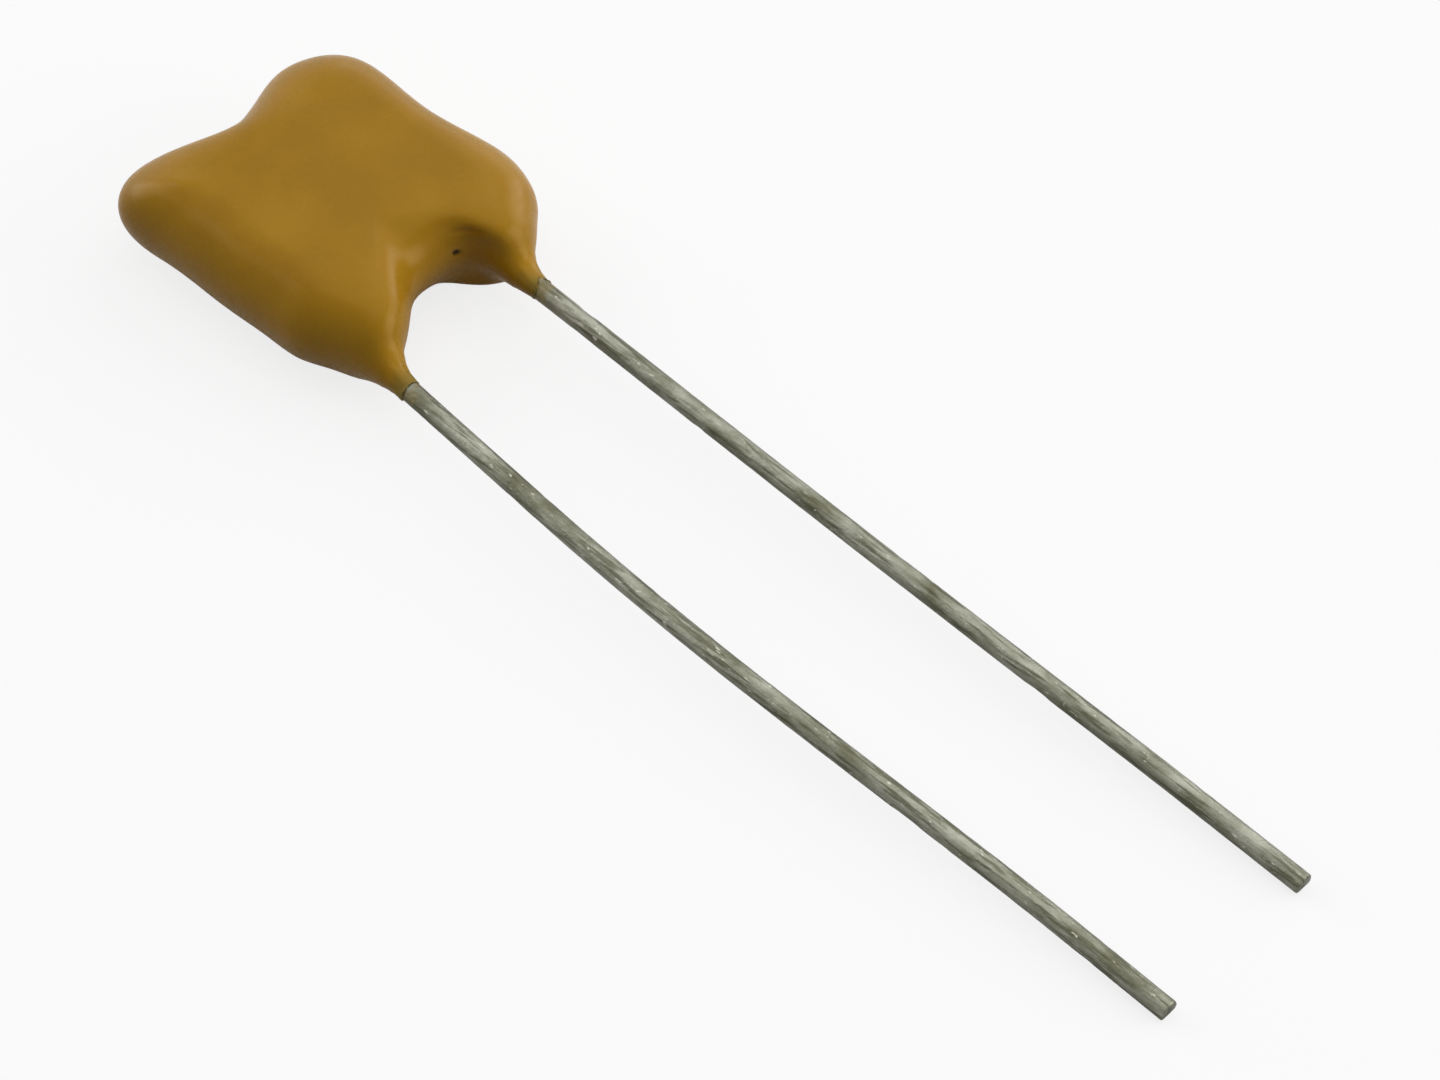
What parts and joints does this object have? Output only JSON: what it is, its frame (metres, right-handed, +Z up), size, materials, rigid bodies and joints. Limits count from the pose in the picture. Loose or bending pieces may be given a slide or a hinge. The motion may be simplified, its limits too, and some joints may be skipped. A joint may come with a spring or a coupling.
{
  "type": "multilayer ceramic capacitor",
  "caption": "Small radial-leaded ceramic capacitor: a chip dipped in ochre epoxy with two rounded ears, and two tinned wire leads with flared legs of coating.",
  "frame": {"origin": "centre of the flat back of the coat, below the middle of the chip", "axes": "+Z up, out of the upper flat face; X along the chip from its left end cap to its right; leads leave towards -Y"},
  "size_m": [0.0087, 0.0372, 0.0032],
  "materials": {
    "epoxy": "glossy dipped epoxy, ochre",
    "tinned_wire": "satin tin over copper-clad steel wire",
    "fired_ceramic": "matte fired barium titanate",
    "nickel_plate": "fired nickel",
    "end_cap_metal": "fired silver under tin",
    "solder": "dull solder"
  },
  "bodies": {
    "root": {"coating": "epoxy", "ceramic_block": "fired_ceramic", "electrodes_left": "nickel_plate", "electrodes_right": "nickel_plate", "termination_left": "end_cap_metal", "termination_right": "end_cap_metal", "solder_left": "solder", "solder_right": "solder", "lead_left": "tinned_wire", "lead_right": "tinned_wire"}
  },
  "joints": []
}
